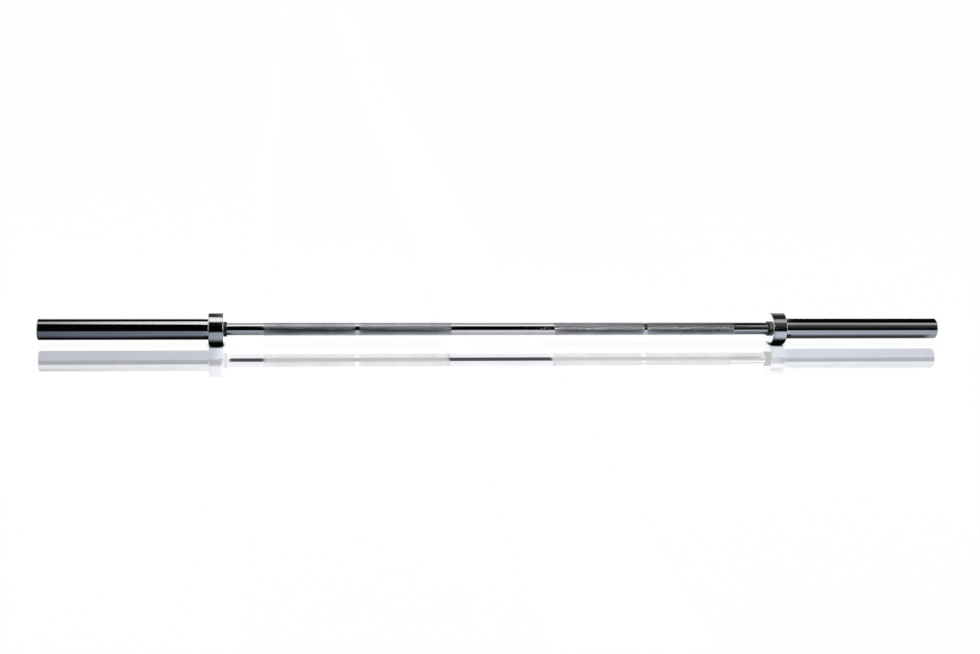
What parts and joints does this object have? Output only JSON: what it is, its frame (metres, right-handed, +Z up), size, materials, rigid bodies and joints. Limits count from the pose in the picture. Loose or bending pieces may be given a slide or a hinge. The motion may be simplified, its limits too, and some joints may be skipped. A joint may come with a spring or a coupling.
{
  "type": "olympic barbell",
  "caption": "Straight olympic barbell: knurled chrome shaft with a smooth middle and free-turning plate sleeves with stop collars at its ends.",
  "frame": {"origin": "middle of the bar, on its axis", "axes": "+X along the bar towards its right end, +Z up, the picture looks roughly along +Y"},
  "size_m": [2.2, 0.078, 0.078],
  "materials": {
    "shaft_chrome": "bright chrome plate over the turned and knurled steel shaft",
    "sleeve_chrome": "bright polished chrome plate",
    "collar_chrome": "bright chrome plate over fine turning marks",
    "cap_plate": "satin chrome plate, faced on a lathe",
    "bronze": "oil soaked sintered bronze",
    "black_acetal": "moulded black acetal, a little greasy",
    "washer_steel": "ground steel",
    "spring_steel": "phosphated spring steel"
  },
  "bodies": {
    "shaft": {"shaft": "shaft_chrome", "left_inner_thrust_washer": "black_acetal", "left_outer_thrust_washer": "washer_steel", "left_end_float_shim": "washer_steel", "left_shaft_retaining_ring": "spring_steel", "right_inner_thrust_washer": "black_acetal", "right_outer_thrust_washer": "washer_steel", "right_end_float_shim": "washer_steel", "right_shaft_retaining_ring": "spring_steel"},
    "left_sleeve_unit": {"left_sleeve": "sleeve_chrome", "left_stop_collar": "collar_chrome", "left_inner_bushing": "bronze", "left_outer_bushing": "bronze", "left_end_cap": "cap_plate", "left_cap_retaining_ring": "spring_steel"},
    "right_sleeve_unit": {"right_sleeve": "sleeve_chrome", "right_stop_collar": "collar_chrome", "right_inner_bushing": "bronze", "right_outer_bushing": "bronze", "right_end_cap": "cap_plate", "right_cap_retaining_ring": "spring_steel"}
  },
  "joints": [
    {"name": "left_sleeve_spin", "type": "hinge", "parent": "shaft", "child": "left_sleeve_unit", "pos_m": [-0.9, 0, 0], "axis": [1, 0, 0], "continuous": true},
    {"name": "right_sleeve_spin", "type": "hinge", "parent": "shaft", "child": "right_sleeve_unit", "pos_m": [0.9, 0, 0], "axis": [1, 0, 0], "continuous": true}
  ]
}
